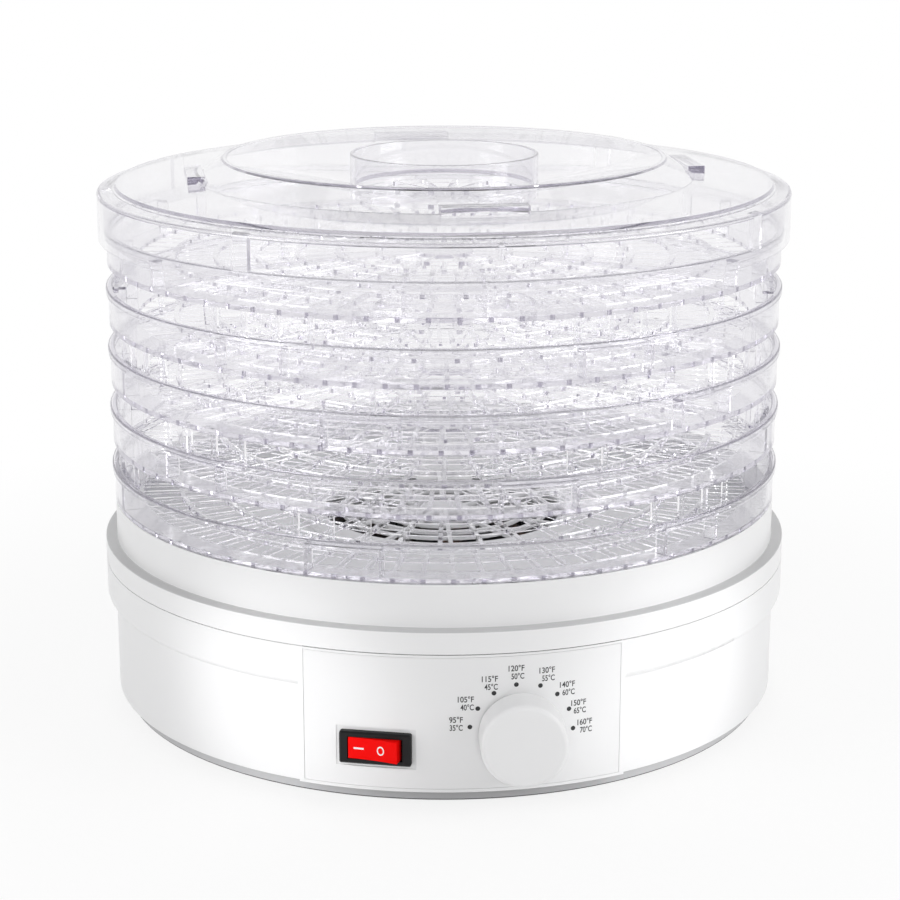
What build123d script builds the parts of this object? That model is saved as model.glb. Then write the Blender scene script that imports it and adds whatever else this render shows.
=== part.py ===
from build123d import *
import os
from math import asin, cos, degrees, radians, sin, sqrt

# Round stacking food dehydrator: a white fan and heater base, five clear trays and a clear lid.
# Millimetres, +Z up, origin on the round axis in the plane the feet stand on, controls facing -Y.

# Base heights, each measured up from the part below it
foot_height = 2.2
plinth_height = 6.1
recess_height = 46.2
shoulder_height = 18.6
band_height = 10.5
collar_height = 19.7

# Base radii and walls
shoulder_radius = 166.7
body_radius = 162.6
plinth_radius = 158.5
collar_radius = 161.2
collar_wall = 2.2
base_wall = 2.5
plate_wall = 2.5
cover_lip = 5.0
seam_groove_height = 0.4
seam_groove_depth = 1.0
shoulder_round = 3.0
ledge_round = 0.6
collar_round = 0.6
body_foot_round = 0.4
edge_round = 1.0

# Front block and control panel, as half angles about the front
block_half_angle = 25.6
block_lift = 1.3
panel_half_angle = 24.7
panel_thickness = 2.2
panel_bottom_margin = 1.6
panel_top_margin = 1.2

# Bottom plate fixings
screw_circle = 140.0
screw_count = 4
screw_start_angle = 45.0
screw_radius = 1.9
screw_head_radius = 4.0
screw_head_height = 2.3
screw_cup_radius = 7.0
screw_cup_height = 10.0
boss_radius = 6.0
boss_height = 24.0
foot_circle = 115.0
foot_count = 4
foot_start_angle = 45.0
foot_radius = 9.0
foot_stem_radius = 2.9
intake_width = 4.0
inner_intake_circle = 50.0
inner_intake_length = 30.0
inner_intake_count = 24
outer_intake_circle = 86.0
outer_intake_length = 24.0
outer_intake_count = 36

# Rocker switch, at an angle round the front from the middle
switch_angle = -13.4
switch_height = 29.5
bezel_length = 32.0
bezel_width = 14.8
bezel_thickness = 3.2
bezel_chamfer = 0.7
switch_pad_border = 1.8
switch_pad_depth = 1.3
switch_body_length = 28.0
switch_body_width = 13.4
switch_body_depth = 16.0
rocker_length = 22.6
rocker_width = 9.8
rocker_crown = 1.6
rocker_dip = 0.7
rocker_pivot_depth = 3.0
rocker_tilt = 9.0
rocker_pin_radius = 1.2
rocker_pin_length = 0.8
rocker_well = 8.0
terminal_tab = 6.3
terminal_length = 9.0
terminal_thickness = 0.8

# Thermostat and its knob, on an axis along Y
knob_offset = 25.0
knob_height = 36.6
knob_radius = 19.0
knob_depth = 16.0
knob_wall = 2.4
knob_round = 2.2
knob_hub_radius = 5.5
dial_boss_radius = 17.4
dial_boss_rise = 0.2
knob_gap = 0.4
shaft_radius = 3.0
shaft_seat = 12.0
shaft_end_gap = 0.3
bushing_radius = 4.8
bushing_thread = 1.0
nut_radius = 7.0
nut_thickness = 2.4
inner_boss_radius = 12.0
thermostat_size = 26.0
thermostat_depth = 18.0

# Cord entry at the back
gland_height = 24.0
gland_radius = 6.5
gland_flange_radius = 9.0
gland_flange = 2.5
gland_bore = 3.5
gland_nut_thickness = 4.0

# Fan motor, on two posts on the bottom plate
post_radius = 4.5
post_height = 11.5
post_spread = 24.0
strap_thickness = 2.0
strap_width = 16.0
strap_overhang = 7.0
spacer_height = 8.0
spacer_radius = 3.5
stator_height = 14.0
stator_half_width = 32.0
stator_front = 20.0
stator_back = 52.0
limb_depth = 16.0
window_half_width = 18.0
window_front = 17.0
rotor_radius = 12.6
rotor_gap = 0.4
coil_half_length = 15.0
coil_build = 8.0
motor_screw_radius = 1.7
motor_screw_head = 3.2
motor_shaft_radius = 2.0
motor_shaft_bottom = 13.0
bush_radius = 5.0
bush_flange_radius = 7.0
bush_flange = 1.5
bush_length = 6.0

# Fan and heater
fan_radius = 55.0
fan_height = 12.0
fan_clear = 5.0
fan_hub_radius = 9.0
fan_blade_count = 7
fan_blade_thickness = 1.6
fan_blade_root = 8.0
blade_tip_angle = 13.0
fan_pitch = 25.0
shield_radius = 62.0
shield_wall = 0.8
shield_depth = 36.0
shield_flange = 12.0
heater_circle = 44.0
heater_tube = 3.0
heater_drop = 9.0
heater_gap_angle = 40.0
heater_leg_end = 70.0
heater_clip_count = 3
heater_clip_start_angle = 60.0
heater_clip_width = 6.0
heater_clip_thickness = 1.2
cutoff_radius = 6.5
cutoff_length = 8.0
cutoff_angle = 200.0
cutoff_drop = 16.0
block_length = 34.0
block_width = 14.0
block_height = 12.0
block_ways = 3
block_screw_radius = 2.5
block_place = (-70.0, 95.0)
guard_flange = 9.0
guard_thickness = 1.6
guard_bar = 2.0
guard_ring_count = 4
guard_spoke_count = 12
guard_hub_radius = 12.0

# Trays
tray_count = 5
tray_radius = 162.3
tray_lip = 1.1
tray_lip_height = 3.6
lip_round = 0.8
tray_wall = 2.2
tray_height = 17.5
tray_pitch = 28.7
tray_floor = 2.0
floor_rim_width = 9.0
floor_slot_counts = (12, 18, 36, 36, 36, 72, 72)
floor_ring_width = 2.4
floor_spoke_width = 2.0
floor_hub_radius = 14.0
leg_count = 6
leg_half_angle = 9.5
leg_thickness = 2.0
leg_post = 2.4
leg_rail = 1.8
leg_windows = 3
leg_seat_depth = 3.0
seat_half_angle = 6.4
seat_depth = 6.0
seat_wall = 1.5
tray_turns = (11.0, -18.0, 14.0, -5.0, 27.0)

# Lid
lid_radius = 165.0
lid_wall = 2.0
lid_overlap = 5.8
lid_rise = 16.4
lid_edge_round = 1.6
step_radius = 157.5
step_height = 2.0
step_run = 1.5
flange_rise = 3.2
cone_foot_radius = 119.0
cone_foot_rise = 5.0
crest_radius = 104.6
crest_rise = 14.0
crest_width = 1.6
dish_drop = 13.5
tube_radius = 45.0
tube_wall = 2.0
tube_rise = 15.0
tube_drop = 6.0
tube_bar = 2.0
tube_bar_count = 16
tube_hub_radius = 16.0
lug_angle = 5.4
lug_count = 4
lug_width = 38.8
lug_height = 3.5
lug_depth = 8.0
rib_angle = -35.0
rib_count = 4
rib_width = 8.5
rib_depth = 3.4
peg_circle = 160.0
peg_radius = 1.3
peg_length = 7.5
peg_head_radius = 2.2
peg_head_height = 1.2

# Clearances
loose_fit = 0.15
seat_gap = 0.3
running_fit = 0.05
press_gap = 0.02

# Worked out from the sizes above
front = -90.0
plate_bottom = foot_height
plate_top = plate_bottom + plate_wall
housing_bottom = plate_bottom + plinth_height
recess_top = housing_bottom + recess_height
seam = recess_top + shoulder_height
ledge = seam + band_height
collar_top = ledge + collar_height
housing_inner = body_radius - base_wall
shoulder_inner = shoulder_radius - base_wall
collar_inner = collar_radius - collar_wall
tray_inner = tray_radius - tray_lip - tray_wall
leg_radius = tray_inner - 2 * seat_gap
leg_length = tray_pitch - tray_height + leg_seat_depth
deck_top = collar_top - leg_length - seat_gap
deck_bottom = deck_top - base_wall
stack_top = collar_top + (tray_count - 1) * tray_pitch + tray_height
lid_bottom = stack_top - lid_overlap
lid_edge = stack_top + lid_rise
block_bottom = housing_bottom + block_lift
panel_bottom = block_bottom + panel_bottom_margin
panel_top = seam - panel_top_margin
panel_inner = shoulder_radius - panel_thickness
cup_top = plate_bottom + screw_cup_height
cover_lip_inner = shoulder_inner - loose_fit - base_wall
switch_pad = shoulder_radius - switch_pad_depth
switch_back = switch_pad - switch_body_depth
rocker_pivot_radius = switch_pad + bezel_thickness - rocker_pivot_depth
rocker_swing = (rocker_pivot_depth + rocker_crown) * sin(radians(rocker_tilt))
dial_face = -shoulder_radius - dial_boss_rise
inner_boss_face = panel_inner - inner_boss_radius
bushing_reach = -dial_face + nut_thickness + bushing_thread - inner_boss_face
knob_back = dial_face - knob_gap
knob_front = knob_back - knob_depth
knob_hub_length = -knob_front - knob_wall - inner_boss_face - bushing_reach - bushing_thread
gland_nut_face = sqrt(housing_inner**2 - gland_flange_radius**2) - running_fit
gland_inner = gland_nut_face - gland_nut_thickness - gland_bore
gland_reach = body_radius + gland_flange + base_wall - gland_inner
strap_lower = plate_top + post_height
stator_bottom = strap_lower + strap_thickness + spacer_height
strap_upper = stator_bottom + stator_height + spacer_height
fan_bottom = strap_upper + strap_thickness + fan_clear
heater_level = deck_bottom - heater_drop
floor_row_pitch = (tray_inner - floor_rim_width - floor_hub_radius) / len(floor_slot_counts)
os.makedirs("parts", exist_ok=True)


def ring_sector(inner_radius, outer_radius, middle, half_angle):
    """Flat piece of a ring, centred on an angle."""
    with BuildSketch() as sector:
        with BuildLine():
            inner = CenterArc((0, 0), inner_radius, middle - half_angle, 2 * half_angle)
            outer = CenterArc((0, 0), outer_radius, middle - half_angle, 2 * half_angle)
            Line(inner @ 0, outer @ 0)
            Line(inner @ 1, outer @ 1)
        make_face()
    return sector.sketch


def radial_plane(angle, radius, height):
    """Plane across a radius: local X runs round, local Y runs up, local Z points outwards."""
    place = radians(angle)
    outward = (cos(place), sin(place), 0)
    around = (-sin(place), cos(place), 0)
    middle = (radius * cos(place), radius * sin(place), height)
    return Plane(origin=middle, x_dir=around, z_dir=outward)


switch_front = radial_plane(front + switch_angle, switch_pad + bezel_thickness, switch_height)
rocker_pivot = radial_plane(front + switch_angle, rocker_pivot_radius, switch_height)
rocker_plane = Plane(origin=rocker_pivot.origin, x_dir=rocker_pivot.x_dir, z_dir=(0, 0, 1))


def finish(piece, name):
    """Label a piece and write it as its own file."""
    piece.part.label = name
    export_step(piece.part, f"parts/{name}.step")


# Bottom plate: the grey plinth that closes the base, with the air intake slots
with BuildPart() as bottom_plate:
    with BuildSketch(Plane.XZ):
        with BuildLine():
            Polyline(
                (0, plate_bottom),
                (plinth_radius, plate_bottom),
                (plinth_radius, housing_bottom),
                (housing_inner - loose_fit, housing_bottom),
                (housing_inner - loose_fit, housing_bottom + plate_wall),
                (plinth_radius - plate_wall, housing_bottom + plate_wall),
                (plinth_radius - plate_wall, plate_top),
                (0, plate_top),
                close=True,
            )
        make_face()
    revolve(axis=Axis.Z)
    fillet(bottom_plate.edges().group_by(Axis.Z)[0], edge_round)
    with BuildSketch(Plane.XY.offset(plate_bottom)):
        with PolarLocations(screw_circle, screw_count, start_angle=screw_start_angle):
            Circle(screw_cup_radius)
    extrude(amount=screw_cup_height)
    with BuildSketch(Plane.XY.offset(plate_bottom)):
        with PolarLocations(screw_circle, screw_count, start_angle=screw_start_angle):
            Circle(screw_head_radius + seat_gap)
    extrude(amount=screw_cup_height - plate_wall, mode=Mode.SUBTRACT)
    with BuildSketch(Plane.XY.offset(plate_bottom)):
        with PolarLocations(screw_circle, screw_count, start_angle=screw_start_angle):
            Circle(screw_radius + loose_fit)
        with PolarLocations(foot_circle, foot_count, start_angle=foot_start_angle):
            Circle(foot_stem_radius + running_fit)
        with PolarLocations(inner_intake_circle, inner_intake_count):
            SlotOverall(inner_intake_length, intake_width)
        with PolarLocations(outer_intake_circle, outer_intake_count):
            SlotOverall(outer_intake_length, intake_width)
    extrude(amount=screw_cup_height + plate_wall, mode=Mode.SUBTRACT)
    with BuildSketch(Plane.XY.offset(plate_top)):
        with Locations((-post_spread, 0), (post_spread, 0)):
            Circle(post_radius)
    extrude(amount=post_height)
    with BuildSketch(Plane.XY.offset(plate_top + post_height)):
        with Locations((-post_spread, 0), (post_spread, 0)):
            Circle(motor_screw_radius + press_gap)
    extrude(amount=-(post_height - plate_wall), mode=Mode.SUBTRACT)
finish(bottom_plate, "bottom_plate")

# Rubber feet, each with a stem pressed into the plate
with BuildPart() as rubber_feet:
    with BuildSketch(Plane.XY):
        with PolarLocations(foot_circle, foot_count, start_angle=foot_start_angle):
            Circle(foot_radius)
    extrude(amount=foot_height)
    with BuildSketch(Plane.XY.offset(foot_height)):
        with PolarLocations(foot_circle, foot_count, start_angle=foot_start_angle):
            Circle(foot_stem_radius)
    extrude(amount=plate_wall)
    fillet(rubber_feet.edges().group_by(Axis.Z)[0], edge_round)
finish(rubber_feet, "rubber_feet")

# Screws that pull the plate up against the bosses of the housing
screw_seat = cup_top - plate_wall
with BuildPart() as base_screws:
    with BuildSketch(Plane.XY.offset(screw_seat - screw_head_height)):
        with PolarLocations(screw_circle, screw_count, start_angle=screw_start_angle):
            Circle(screw_head_radius)
    extrude(amount=screw_head_height)
    with BuildSketch(Plane.XY.offset(screw_seat)):
        with PolarLocations(screw_circle, screw_count, start_angle=screw_start_angle):
            Circle(screw_radius)
    extrude(amount=plate_wall + boss_height / 2)
finish(base_screws, "base_screws")

# Housing: the white lower body, with a raised block at the front that holds the controls
with BuildPart() as base_housing:
    with BuildSketch(Plane.XZ) as housing_section:
        with BuildLine():
            Polyline(
                (housing_inner, housing_bottom),
                (body_radius, housing_bottom),
                (body_radius, recess_top),
                (shoulder_radius, recess_top),
                (shoulder_radius, seam),
                (shoulder_inner, seam),
                (shoulder_inner, recess_top + base_wall),
                (housing_inner, recess_top + base_wall),
                close=True,
            )
        make_face()
        step_corner = housing_section.vertices().sort_by_distance((shoulder_radius, recess_top))[0]
        fillet(step_corner, shoulder_round)
        foot_corner = housing_section.vertices().sort_by_distance((body_radius, housing_bottom))[0]
        fillet(foot_corner, body_foot_round)
    revolve(axis=Axis.Z)
    with BuildSketch(Plane.XY.offset(block_bottom)):
        add(ring_sector(housing_inner, shoulder_radius, front, block_half_angle))
    extrude(amount=recess_top + shoulder_round - block_bottom)
    with BuildSketch(Plane.XY.offset(panel_bottom - loose_fit)):
        add(ring_sector(panel_inner, shoulder_radius + base_wall, front, panel_half_angle + loose_fit / 2))
    extrude(amount=panel_top - panel_bottom + 2 * loose_fit, mode=Mode.SUBTRACT)
    with BuildSketch(Plane.XY.offset(cup_top)):
        with PolarLocations(screw_circle, screw_count, start_angle=screw_start_angle):
            Circle(boss_radius)
            with Locations(((housing_inner - screw_circle + base_wall / 2) / 2, 0)):
                Rectangle(housing_inner - screw_circle + base_wall / 2, base_wall)
    extrude(amount=boss_height)
    with BuildSketch(Plane.XY.offset(cup_top)):
        with PolarLocations(screw_circle, screw_count, start_angle=screw_start_angle):
            Circle(screw_radius + press_gap)
    extrude(amount=boss_height / 2 + base_wall, mode=Mode.SUBTRACT)
    with BuildSketch(Plane.XZ.offset(panel_inner - inner_boss_radius)):
        with Locations((knob_offset, knob_height)):
            Circle(inner_boss_radius)
    extrude(until=Until.NEXT)
    with BuildSketch(Plane.XZ.offset(panel_inner - 2 * inner_boss_radius)):
        with Locations((knob_offset, knob_height)):
            Circle(bushing_radius + loose_fit)
    extrude(amount=3 * inner_boss_radius, mode=Mode.SUBTRACT)
    with BuildSketch(radial_plane(front + switch_angle, switch_back, switch_height)):
        Rectangle(switch_body_length + 2 * loose_fit, switch_body_width + 2 * loose_fit)
    extrude(amount=switch_body_depth, mode=Mode.SUBTRACT)
    with BuildSketch(Plane.XZ.offset(-gland_inner)):
        with Locations((0, gland_height)):
            Circle(gland_radius + loose_fit)
    extrude(amount=-gland_reach, mode=Mode.SUBTRACT)
finish(base_housing, "base_housing")

# Control panel: a curved plate let into the block, with a flat pad for the switch and one for the dial
with BuildPart() as control_panel:
    with BuildSketch(Plane.XY.offset(panel_bottom)):
        add(ring_sector(panel_inner, shoulder_radius, front, panel_half_angle))
    extrude(amount=panel_top - panel_bottom)
    with BuildSketch(Plane.XZ.offset(-dial_face)):
        with Locations((knob_offset, knob_height)):
            Circle(dial_boss_radius)
    extrude(until=Until.NEXT, dir=(0, 1, 0))
    with BuildSketch(Plane.XZ.offset(-dial_face)):
        with Locations((knob_offset, knob_height)):
            Circle(bushing_radius + loose_fit)
    extrude(amount=-2 * bushing_reach, mode=Mode.SUBTRACT)
    with BuildSketch(radial_plane(front + switch_angle, switch_pad, switch_height)):
        Rectangle(bezel_length + 2 * switch_pad_border, bezel_width + 2 * switch_pad_border)
    extrude(amount=switch_pad_depth, mode=Mode.SUBTRACT)
    with BuildSketch(radial_plane(front + switch_angle, switch_pad, switch_height)):
        Rectangle(switch_body_length + 2 * loose_fit, switch_body_width + 2 * loose_fit)
    extrude(amount=-panel_thickness, mode=Mode.SUBTRACT)
finish(control_panel, "control_panel")

# Switch housing: the black bezel and the body behind it, hollow where the rocker tilts
window_length = rocker_length + 2 * (rocker_swing + seat_gap)
window_width = rocker_width + 2 * seat_gap
with BuildPart() as switch_housing:
    with BuildSketch(radial_plane(front + switch_angle, switch_pad, switch_height)):
        RectangleRounded(bezel_length, bezel_width, edge_round)
    extrude(amount=bezel_thickness)
    chamfer(switch_housing.faces().sort_by_distance(switch_front.origin)[0].edges(), bezel_chamfer)
    with BuildSketch(radial_plane(front + switch_angle, switch_back, switch_height)):
        Rectangle(switch_body_length, switch_body_width)
    extrude(amount=switch_body_depth)
    with BuildSketch(switch_front):
        Rectangle(window_length, window_width)
    extrude(amount=-rocker_well, mode=Mode.SUBTRACT)
    with BuildSketch(rocker_plane.offset(-window_width / 2 - rocker_pin_length - seat_gap)):
        Circle(rocker_pin_radius + running_fit)
    extrude(amount=window_width + 2 * (rocker_pin_length + seat_gap), mode=Mode.SUBTRACT)
finish(switch_housing, "switch_housing")

# Rocker: dished along its length, lying with the on side pressed in
with BuildPart() as switch_rocker:
    with BuildSketch(rocker_plane.offset(-rocker_width / 2).rotated((0, 0, -rocker_tilt))):
        with BuildLine():
            left = (-rocker_length / 2, -rocker_pivot_depth - rocker_crown)
            right = (rocker_length / 2, -rocker_pivot_depth - rocker_crown)
            middle = (0, -rocker_pivot_depth - rocker_crown + rocker_dip)
            ThreePointArc(left, middle, right)
            Polyline(right, (right[0], rocker_pin_radius), (left[0], rocker_pin_radius), left)
        make_face()
    extrude(amount=rocker_width)
    with BuildSketch(rocker_plane.offset(-rocker_width / 2 - rocker_pin_length)):
        Circle(rocker_pin_radius)
    extrude(amount=rocker_width + 2 * rocker_pin_length)
finish(switch_rocker, "switch_rocker")

# Brass tabs behind the switch
with BuildPart() as switch_terminals:
    with BuildSketch(radial_plane(front + switch_angle, switch_back, switch_height)):
        with GridLocations(switch_body_length / 3, 0, 3, 1):
            Rectangle(terminal_thickness, terminal_tab)
    extrude(amount=-terminal_length)
finish(switch_terminals, "switch_terminals")

# Thermostat: a square body seated on the inner boss, with a threaded bushing out through the panel
with BuildPart() as thermostat_body:
    with BuildSketch(Plane.XZ.offset(inner_boss_face)):
        with Locations((knob_offset, knob_height)):
            RectangleRounded(thermostat_size, thermostat_size, edge_round)
    extrude(amount=-thermostat_depth)
    with BuildSketch(Plane.XZ.offset(inner_boss_face)):
        with Locations((knob_offset, knob_height)):
            Circle(bushing_radius)
    extrude(amount=bushing_reach)
    with BuildSketch(Plane.XZ.offset(inner_boss_face - shaft_seat)):
        with Locations((knob_offset, knob_height)):
            Circle(shaft_radius + running_fit)
    extrude(amount=shaft_seat + bushing_reach, mode=Mode.SUBTRACT)
finish(thermostat_body, "thermostat_body")

# Nut that clamps the thermostat to the panel, hidden inside the knob
with BuildPart() as thermostat_nut:
    with BuildSketch(Plane.XZ.offset(-dial_face)):
        with Locations((knob_offset, knob_height)):
            RegularPolygon(nut_radius, 6)
            Circle(bushing_radius + press_gap, mode=Mode.SUBTRACT)
    extrude(amount=nut_thickness)
finish(thermostat_nut, "thermostat_nut")

# Thermostat shaft, from its seat in the body to the front wall of the knob
with BuildPart() as thermostat_shaft:
    with BuildSketch(Plane.XZ.offset(inner_boss_face - shaft_seat + shaft_end_gap)):
        with Locations((knob_offset, knob_height)):
            Circle(shaft_radius)
    extrude(amount=-knob_front - knob_wall - inner_boss_face + shaft_seat - shaft_end_gap)
finish(thermostat_shaft, "thermostat_shaft")

# Temperature knob: a hollow cap with a rounded front edge and a hub on the shaft
with BuildPart() as temperature_knob:
    with BuildSketch(Plane.XZ.offset(-knob_back)):
        with Locations((knob_offset, knob_height)):
            Circle(knob_radius)
    extrude(amount=knob_depth)
    fillet(temperature_knob.edges().group_by(Axis.Y)[0], knob_round)
    with BuildSketch(Plane.XZ.offset(-knob_back)):
        with Locations((knob_offset, knob_height)):
            Circle(knob_radius - knob_wall)
    extrude(amount=knob_depth - knob_wall, mode=Mode.SUBTRACT)
    with BuildSketch(Plane.XZ.offset(-knob_front - knob_wall)):
        with Locations((knob_offset, knob_height)):
            Circle(knob_hub_radius)
            Circle(shaft_radius + press_gap, mode=Mode.SUBTRACT)
    extrude(amount=-knob_hub_length)
finish(temperature_knob, "temperature_knob")

# Gland: the flanged bushing that the supply cord comes in through, and its nut inside
with BuildPart() as cord_gland:
    with BuildSketch(Plane.XZ.offset(-body_radius - running_fit)):
        with Locations((0, gland_height)):
            Circle(gland_flange_radius)
    extrude(amount=-gland_flange)
    with BuildSketch(Plane.XZ.offset(-gland_inner)):
        with Locations((0, gland_height)):
            Circle(gland_radius)
    extrude(amount=-(body_radius + running_fit - gland_inner))
    with BuildSketch(Plane.XZ.offset(-gland_inner)):
        with Locations((0, gland_height)):
            Circle(gland_bore)
    extrude(amount=-gland_reach, mode=Mode.SUBTRACT)
finish(cord_gland, "cord_gland")

with BuildPart() as gland_nut:
    with BuildSketch(Plane.XZ.offset(-gland_nut_face)):
        with Locations((0, gland_height)):
            RegularPolygon(gland_flange_radius, 6)
            Circle(gland_radius + press_gap, mode=Mode.SUBTRACT)
    extrude(amount=gland_nut_thickness)
finish(gland_nut, "gland_nut")

# Motor straps: flat steel bars that hold the bearing bushes above and below the stator
for strap_name, strap_bottom in (("motor_strap_lower", strap_lower), ("motor_strap_upper", strap_upper)):
    with BuildPart() as motor_strap:
        with BuildSketch(Plane.XY.offset(strap_bottom)):
            SlotOverall(2 * (post_spread + strap_overhang), strap_width)
            Circle(bush_radius + press_gap, mode=Mode.SUBTRACT)
            with Locations((-post_spread, 0), (post_spread, 0)):
                Circle(motor_screw_radius + loose_fit, mode=Mode.SUBTRACT)
        extrude(amount=strap_thickness)
    finish(motor_strap, strap_name)

# Bearing bushes, flanged on the stator side of each strap
with BuildPart() as bearing_bushes:
    for bush_bottom, flange_bottom in (
        (strap_lower + strap_thickness - bush_length / 2, strap_lower + strap_thickness),
        (strap_upper - bush_length / 2, strap_upper - bush_flange),
    ):
        with BuildSketch(Plane.XY.offset(bush_bottom)):
            Circle(bush_radius)
        extrude(amount=bush_length)
        with BuildSketch(Plane.XY.offset(flange_bottom)):
            Circle(bush_flange_radius)
        extrude(amount=bush_flange)
        with BuildSketch(Plane.XY.offset(bush_bottom)):
            Circle(motor_shaft_radius + running_fit)
        extrude(amount=bush_length, mode=Mode.SUBTRACT)
finish(bearing_bushes, "bearing_bushes")

# Spacer tubes between the straps and the stator
with BuildPart() as motor_spacers:
    for spacer_bottom in (strap_lower + strap_thickness, stator_bottom + stator_height):
        with BuildSketch(Plane.XY.offset(spacer_bottom)):
            with Locations((-post_spread, 0), (post_spread, 0)):
                Circle(spacer_radius)
                Circle(motor_screw_radius + loose_fit, mode=Mode.SUBTRACT)
        extrude(amount=spacer_height)
finish(motor_spacers, "motor_spacers")

# Long screws through both straps, the spacers and the stator into the posts
with BuildPart() as motor_screws:
    with BuildSketch(Plane.XY.offset(strap_upper + strap_thickness)):
        with Locations((-post_spread, 0), (post_spread, 0)):
            Circle(motor_screw_head)
    extrude(amount=motor_screw_radius)
    with BuildSketch(Plane.XY.offset(strap_upper + strap_thickness)):
        with Locations((-post_spread, 0), (post_spread, 0)):
            Circle(motor_screw_radius)
    extrude(amount=-(strap_upper + strap_thickness - strap_lower + post_height / 2))
finish(motor_screws, "motor_screws")

# Stator: the stack of steel plates, with the rotor bore and the window for the coil
with BuildPart() as motor_stator:
    with BuildSketch(Plane.XY.offset(stator_bottom)):
        with Locations((0, (stator_back - stator_front) / 2)):
            RectangleRounded(2 * stator_half_width, stator_front + stator_back, spacer_radius)
        Circle(rotor_radius + rotor_gap, mode=Mode.SUBTRACT)
        with Locations((0, (window_front + stator_back - limb_depth) / 2)):
            window_depth = stator_back - limb_depth - window_front
            Rectangle(2 * window_half_width, window_depth, mode=Mode.SUBTRACT)
        with Locations((-post_spread, 0), (post_spread, 0)):
            Circle(motor_screw_radius + loose_fit, mode=Mode.SUBTRACT)
    extrude(amount=stator_height)
finish(motor_stator, "motor_stator")

# Coil: a wound block round the back limb of the stator
with BuildPart() as motor_coil:
    limb_middle = stator_back - limb_depth / 2
    with BuildSketch(Plane.YZ.offset(-coil_half_length)):
        with Locations((limb_middle, stator_bottom + stator_height / 2)):
            coil_hole = (limb_depth + 2 * seat_gap, stator_height + 2 * seat_gap)
            RectangleRounded(coil_hole[0] + 2 * coil_build, coil_hole[1] + 2 * coil_build, coil_build / 2)
            Rectangle(coil_hole[0], coil_hole[1], mode=Mode.SUBTRACT)
    extrude(amount=2 * coil_half_length)
finish(motor_coil, "motor_coil")

# Rotor, on the shaft that also carries the fan
with BuildPart() as motor_rotor:
    with BuildSketch(Plane.XY.offset(stator_bottom)):
        Circle(rotor_radius)
        Circle(motor_shaft_radius + press_gap, mode=Mode.SUBTRACT)
    extrude(amount=stator_height)
finish(motor_rotor, "motor_rotor")

with BuildPart() as motor_shaft:
    with BuildSketch(Plane.XY.offset(motor_shaft_bottom)):
        Circle(motor_shaft_radius)
    extrude(amount=fan_bottom + fan_height + motor_shaft_radius - motor_shaft_bottom)
finish(motor_shaft, "motor_shaft")

# Fan: pitched blades that widen outwards from a hub
with BuildPart() as blade_form:
    with BuildSketch(Plane.XY.rotated((fan_pitch, 0, 0))):
        with BuildLine():
            tip = CenterArc((0, 0), fan_radius, -blade_tip_angle, 2 * blade_tip_angle)
            root_start = (fan_hub_radius / 2, -fan_blade_root / 2)
            root_end = (fan_hub_radius / 2, fan_blade_root / 2)
            Polyline(tip @ 1, root_end, root_start, tip @ 0)
        make_face()
    extrude(amount=fan_blade_thickness / 2, both=True)

with BuildPart() as fan_impeller:
    with BuildSketch(Plane.XY.offset(fan_bottom)):
        Circle(fan_hub_radius)
    extrude(amount=fan_height)
    with Locations((0, 0, fan_bottom + fan_height / 2)):
        with PolarLocations(0, fan_blade_count):
            add(blade_form.part)
    with BuildSketch(Plane.XY.offset(fan_bottom - fan_height)):
        Circle(motor_shaft_radius + press_gap)
    extrude(amount=3 * fan_height, mode=Mode.SUBTRACT)
finish(fan_impeller, "fan_impeller")

# Heat shield: a thin steel tube round the fan and heater, hung from the deck by its flange
with BuildPart() as heat_shield:
    with BuildSketch(Plane.XY.offset(deck_bottom - shield_depth)):
        Circle(shield_radius + shield_wall)
        Circle(shield_radius, mode=Mode.SUBTRACT)
    extrude(amount=shield_depth)
    with BuildSketch(Plane.XY.offset(deck_bottom - shield_wall)):
        Circle(shield_radius + shield_flange)
        Circle(shield_radius, mode=Mode.SUBTRACT)
    extrude(amount=shield_wall)
    for leg_angle in (heater_gap_angle / 2, -heater_gap_angle / 2):
        with BuildSketch(radial_plane(leg_angle, heater_circle + heater_tube, heater_level)):
            Circle(heater_tube + seat_gap)
        extrude(amount=heater_leg_end - heater_circle, mode=Mode.SUBTRACT)
finish(heat_shield, "heat_shield")

# Heating element: a steel tube bent into an open ring, its two ends led out through the shield
with BuildPart() as heater_element:
    with BuildLine():
        CenterArc((0, 0, heater_level), heater_circle, heater_gap_angle / 2, 360 - heater_gap_angle)
    ring_start = radial_plane(heater_gap_angle / 2, heater_circle, heater_level)
    with BuildSketch(Plane(origin=ring_start.origin, z_dir=ring_start.x_dir)):
        Circle(heater_tube)
    sweep()
    for leg_angle in (heater_gap_angle / 2, -heater_gap_angle / 2):
        with BuildSketch(radial_plane(leg_angle, heater_circle, heater_level)):
            Circle(heater_tube)
        extrude(amount=heater_leg_end - heater_circle)
        with Locations((heater_circle * cos(radians(leg_angle)), heater_circle * sin(radians(leg_angle)), heater_level)):
            Sphere(heater_tube)
finish(heater_element, "heater_element")

# Clips from the shield that carry the element
with BuildPart() as heater_clips:
    with BuildSketch(Plane.XY.offset(heater_level - heater_tube - heater_clip_thickness - running_fit)):
        with PolarLocations(0, heater_clip_count, start_angle=heater_clip_start_angle):
            clip_length = shield_radius - press_gap - heater_circle + heater_tube
            with Locations((shield_radius - press_gap - clip_length / 2, 0)):
                Rectangle(clip_length, heater_clip_width)
        Circle(shield_radius - press_gap, mode=Mode.INTERSECT)
    extrude(amount=heater_clip_thickness)
finish(heater_clips, "heater_clips")

# Thermal cut-off: a round limiter fixed to the outside of the shield
with BuildPart() as thermal_cutoff:
    with BuildSketch(radial_plane(cutoff_angle, shield_radius + shield_wall + running_fit, deck_bottom - cutoff_drop)):
        Circle(cutoff_radius)
    extrude(amount=cutoff_length)
finish(thermal_cutoff, "thermal_cutoff")

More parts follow.
